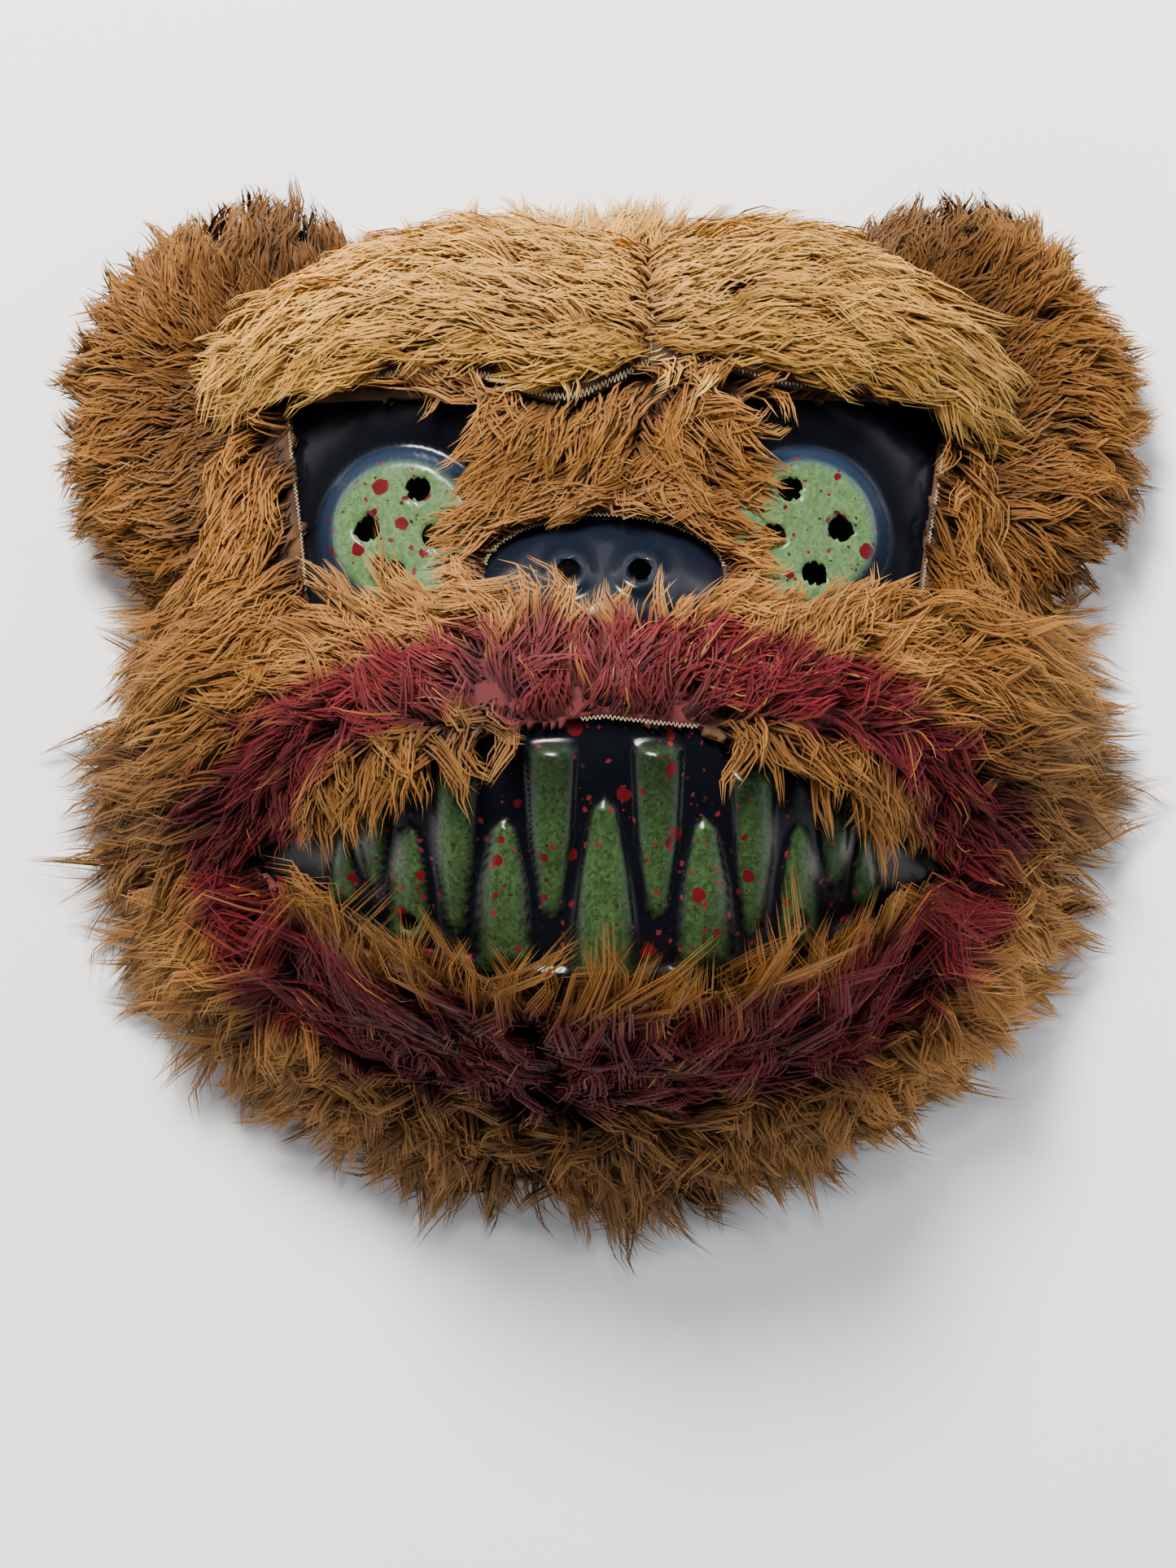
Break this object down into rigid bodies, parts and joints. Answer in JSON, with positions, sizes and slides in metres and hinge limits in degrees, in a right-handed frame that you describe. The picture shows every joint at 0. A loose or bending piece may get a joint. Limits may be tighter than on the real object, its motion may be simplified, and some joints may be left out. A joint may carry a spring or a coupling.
{
  "type": "bear face mask",
  "caption": "Plush bear face mask: thin moulded shell with peep holes, long pile panels, padded brows, cupped ears and a head band.",
  "frame": {"origin": "middle of the mask's bounding box at the level of the shell's cut rim, on which it rests", "axes": "+X to the right of someone who faces the mask, +Y towards the crown, +Z the way the face looks"},
  "size_m": [0.3026, 0.293, 0.1002],
  "materials": {
    "black_plastic": "glossy vacuum formed sheet, painted on the eyes and teeth",
    "brown_plush": "long pile plush on a knit backing, painted red round the mouth",
    "light_plush": "long pile plush over a soft pad",
    "black_elastic": "woven elastic"
  },
  "bodies": {
    "root": {"face_shell": "black_plastic", "face_plush": "brown_plush", "jaw_plush": "brown_plush", "crown_plush": "brown_plush", "brow_left": "light_plush", "brow_right": "light_plush", "ear_left": "brown_plush", "ear_right": "brown_plush", "head_band": "black_elastic"}
  },
  "joints": []
}
